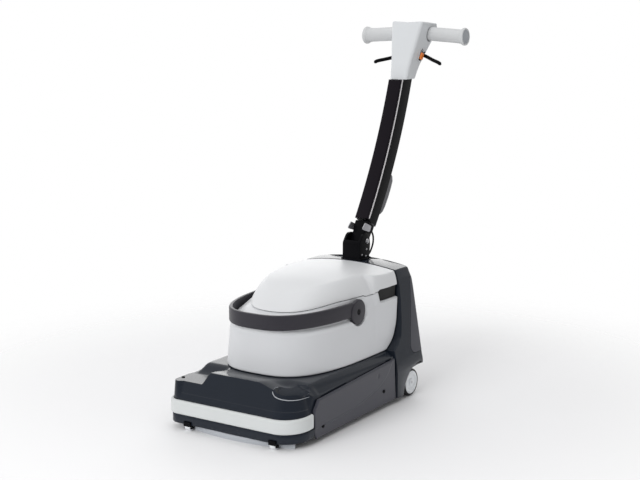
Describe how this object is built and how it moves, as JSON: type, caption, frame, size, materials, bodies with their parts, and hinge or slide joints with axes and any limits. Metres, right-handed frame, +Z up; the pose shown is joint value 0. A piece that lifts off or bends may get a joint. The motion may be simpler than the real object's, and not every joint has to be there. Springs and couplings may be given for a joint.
{
  "type": "wet dry floor scrubber",
  "caption": "Walk-behind floor scrubber: low dark base with a cylindrical brush, lift-off pale tank with carry handle, rear tower and a curved tilting handle with T grips.",
  "frame": {"origin": "on the floor, under the middle of the machine's overall length and width", "axes": "+Z up, -Y is the front (bumper) and travel direction, +X is the operator's right hand facing forward seen from the front right, the tower and handle are at +Y"},
  "size_m": [0.426, 1.033, 1.079],
  "materials": {
    "deck": "semi-gloss dark blue-grey moulding",
    "panel": "satin dark grey moulding",
    "bumper": "pale grey bumper moulding",
    "tank": "light grey rotomoulded tank",
    "lid": "light grey lid",
    "bail": "dark grey carry handle",
    "boom": "near-black cover",
    "black": "black",
    "strip": "pale trim strip",
    "head": "light grey handle head",
    "grip": "light grey soft grip",
    "orange": "orange control",
    "squeegee": "grey squeegee rubber and trim",
    "tyre": "black tyre",
    "hub": "pale grey wheel centre",
    "steel": "plain steel",
    "aluminium": "cast aluminium",
    "bristle": "blue nylon bristle",
    "motor": "painted motor can",
    "rubber": "black rubber",
    "battery": "black moulded case",
    "filter": "blue strainer",
    "clear_tank": "translucent grey inner tank"
  },
  "bodies": {
    "base": {"chassis_deck": "deck", "brush_tunnel": "steel", "front_bumper": "bumper", "front_lip": "deck", "side_panel_left": "panel", "side_panel_right": "panel", "rear_housing": "deck", "wheel_axle": "steel", "front_squeegee_holder": "squeegee", "front_squeegee_blade": "squeegee", "rear_squeegee_holder": "black", "rear_squeegee_blade": "rubber", "brush_motor": "motor", "drive_belt": "rubber", "debris_tray": "battery", "vacuum_motor": "motor", "water_pump": "motor", "suction_hose": "rubber", "battery_pack": "battery", "handle_bracket": "black", "hinge_bolt": "steel"},
    "rear_cover": {"battery_cover": "panel"},
    "wheel_left": {"rear_tyre_left": "tyre", "rear_hub_left": "hub"},
    "wheel_right": {"rear_tyre_right": "tyre", "rear_hub_right": "hub"},
    "roller_left": {"front_roller_left": "rubber"},
    "roller_right": {"front_roller_right": "rubber"},
    "brush": {"brush_core": "motor", "brush_bristles": "bristle", "brush_pulley": "aluminium"},
    "motor_shaft": {"motor_pulley": "aluminium"},
    "fan": {"vacuum_impeller": "aluminium"},
    "tank": {"tank_shell": "tank", "inner_tank": "clear_tank", "tank_filter": "filter", "carry_pivot_left": "black", "carry_pivot_right": "black"},
    "lid": {"tank_lid": "lid", "lid_seal": "rubber"},
    "bail": {"carry_handle": "bail"},
    "handle": {"boom_front_cover": "boom", "boom_rear_channel": "black", "boom_core_tube": "steel", "boom_strip_left": "strip", "boom_strip_right": "strip", "boom_foot": "aluminium", "boom_back_cover": "squeegee", "handle_cable": "black", "head_front_shell": "head", "head_rear_shell": "head", "handlebar": "steel", "grip_left": "grip", "grip_right": "grip", "trigger_shaft": "steel"},
    "lever_left": {"trigger_left": "black"},
    "lever_right": {"trigger_right": "black"},
    "slider": {"flow_slider": "orange"},
    "button_power": {"power_button": "orange"},
    "button_flow": {"flow_button": "black"}
  },
  "joints": [
    {"name": "handle_tilt", "type": "hinge", "parent": "base", "child": "handle", "pos_m": [0, 0.1335, 0.438], "axis": [1, 0, 0], "range_deg": [-38, 26], "deforming": ["handle_cable"]},
    {"name": "tank_lift", "type": "slide", "parent": "base", "child": "tank", "axis": [0, 0, 1], "range_m": [0, 0.2]},
    {"name": "lid_lift", "type": "slide", "parent": "tank", "child": "lid", "axis": [0, 0, 1], "range_m": [0, 0.035]},
    {"name": "carry_swing", "type": "hinge", "parent": "tank", "child": "bail", "pos_m": [0, -0.1305, 0.292], "axis": [-1, 0, 0], "range_deg": [0, 90]},
    {"name": "cover_slide", "type": "slide", "parent": "base", "child": "rear_cover", "axis": [0, 1, 0], "range_m": [0, 0.05]},
    {"name": "wheel_left_spin", "type": "hinge", "parent": "base", "child": "wheel_left", "pos_m": [-0.194, 0.099, 0.04], "axis": [1, 0, 0], "continuous": true},
    {"name": "wheel_right_spin", "type": "hinge", "parent": "base", "child": "wheel_right", "pos_m": [0.194, 0.099, 0.04], "axis": [1, 0, 0], "continuous": true},
    {"name": "roller_left_spin", "type": "hinge", "parent": "base", "child": "roller_left", "pos_m": [-0.14, -0.5061, 0.01], "axis": [1, 0, 0], "continuous": true},
    {"name": "roller_right_spin", "type": "hinge", "parent": "base", "child": "roller_right", "pos_m": [0.14, -0.5061, 0.01], "axis": [1, 0, 0], "continuous": true},
    {"name": "brush_spin", "type": "hinge", "parent": "base", "child": "brush", "pos_m": [0, -0.3015, 0.048], "axis": [1, 0, 0], "continuous": true},
    {"name": "motor_spin", "type": "hinge", "parent": "base", "child": "motor_shaft", "pos_m": [-0.186, -0.1715, 0.066], "axis": [1, 0, 0], "continuous": true},
    {"name": "fan_spin", "type": "hinge", "parent": "base", "child": "fan", "pos_m": [-0.095, 0.0835, 0.107], "axis": [0, 0, 1], "continuous": true},
    {"name": "lever_left_pull", "type": "hinge", "parent": "handle", "child": "lever_left", "pos_m": [0, 0.4355, 0.99], "axis": [-1, 0, 0], "range_deg": [0, 16], "stiffness_Nm_per_rad": 0.8, "springref_deg": -14.32},
    {"name": "lever_right_pull", "type": "hinge", "parent": "handle", "child": "lever_right", "pos_m": [0, 0.4355, 0.99], "axis": [-1, 0, 0], "range_deg": [0, 16], "stiffness_Nm_per_rad": 0.8, "springref_deg": -14.32},
    {"name": "flow_slide", "type": "slide", "parent": "handle", "child": "slider", "axis": [0.0702, 0.4014, 0.9132], "range_m": [0, 0.012]},
    {"name": "power_press", "type": "slide", "parent": "handle", "child": "button_power", "axis": [0, 0, -1], "range_m": [0, 0.0015], "stiffness_N_per_m": 900, "springref_m": -0.001},
    {"name": "flow_press", "type": "slide", "parent": "handle", "child": "button_flow", "axis": [0, 0, -1], "range_m": [0, 0.0015], "stiffness_N_per_m": 900, "springref_m": -0.001}
  ],
  "couplings": [
    {"joint": "lever_right_pull", "follows": "lever_left_pull", "ratio": 1},
    {"joint": "motor_spin", "follows": "brush_spin", "ratio": 3}
  ]
}
